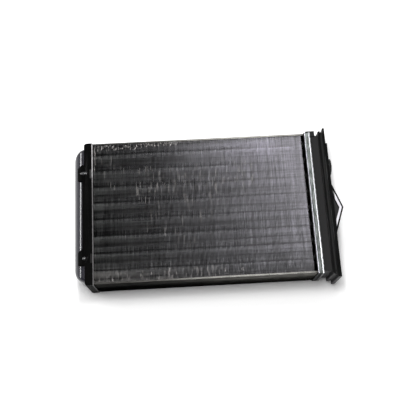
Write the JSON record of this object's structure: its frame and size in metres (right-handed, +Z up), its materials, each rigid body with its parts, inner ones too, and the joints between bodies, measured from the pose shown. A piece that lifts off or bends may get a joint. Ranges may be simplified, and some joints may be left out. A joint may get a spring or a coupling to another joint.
{
  "type": "heater core",
  "caption": "Flat fin and tube heater core with crimped aluminium headers, a rounded black return tank and a connection tank with an end plate, round ports and a pointed guard.",
  "frame": {"origin": "middle of the underside, below the centre of the whole part", "axes": "+X along the tubes towards the ports, +Y across the tubes towards the hook, +Z up from the face it lies on"},
  "size_m": [0.2902, 0.168, 0.0446],
  "materials": {
    "fins": "thin drawn sheet, satin",
    "tubes": "drawn, satin",
    "turbulators": "plain",
    "side_plates": "rolled, satin",
    "headers": "rolled, mottled",
    "gaskets": "smooth",
    "return_tank": "glossy",
    "clip_frame": "matt",
    "connection_tank": "matt to satin"
  },
  "bodies": {
    "root": {"fin_pack": "fins", "front_side_plate": "side_plates", "back_side_plate": "side_plates", "return_header": "headers", "return_gasket": "gaskets", "return_tank": "return_tank", "clip_frame": "clip_frame", "connection_header": "headers", "connection_gasket": "gaskets", "connection_tank": "connection_tank", "tube_01": "tubes", "tube_02": "tubes", "tube_03": "tubes", "tube_04": "tubes", "tube_05": "tubes", "tube_06": "tubes", "tube_07": "tubes", "tube_08": "tubes", "tube_09": "tubes", "tube_10": "tubes", "tube_11": "tubes", "tube_12": "tubes", "tube_13": "tubes", "tube_14": "tubes", "tube_15": "tubes", "tube_16": "tubes", "turbulator_01": "turbulators", "turbulator_02": "turbulators", "turbulator_03": "turbulators", "turbulator_04": "turbulators", "turbulator_05": "turbulators", "turbulator_06": "turbulators", "turbulator_07": "turbulators", "turbulator_08": "turbulators", "turbulator_09": "turbulators", "turbulator_10": "turbulators", "turbulator_11": "turbulators", "turbulator_12": "turbulators", "turbulator_13": "turbulators", "turbulator_14": "turbulators", "turbulator_15": "turbulators", "turbulator_16": "turbulators"}
  },
  "joints": []
}
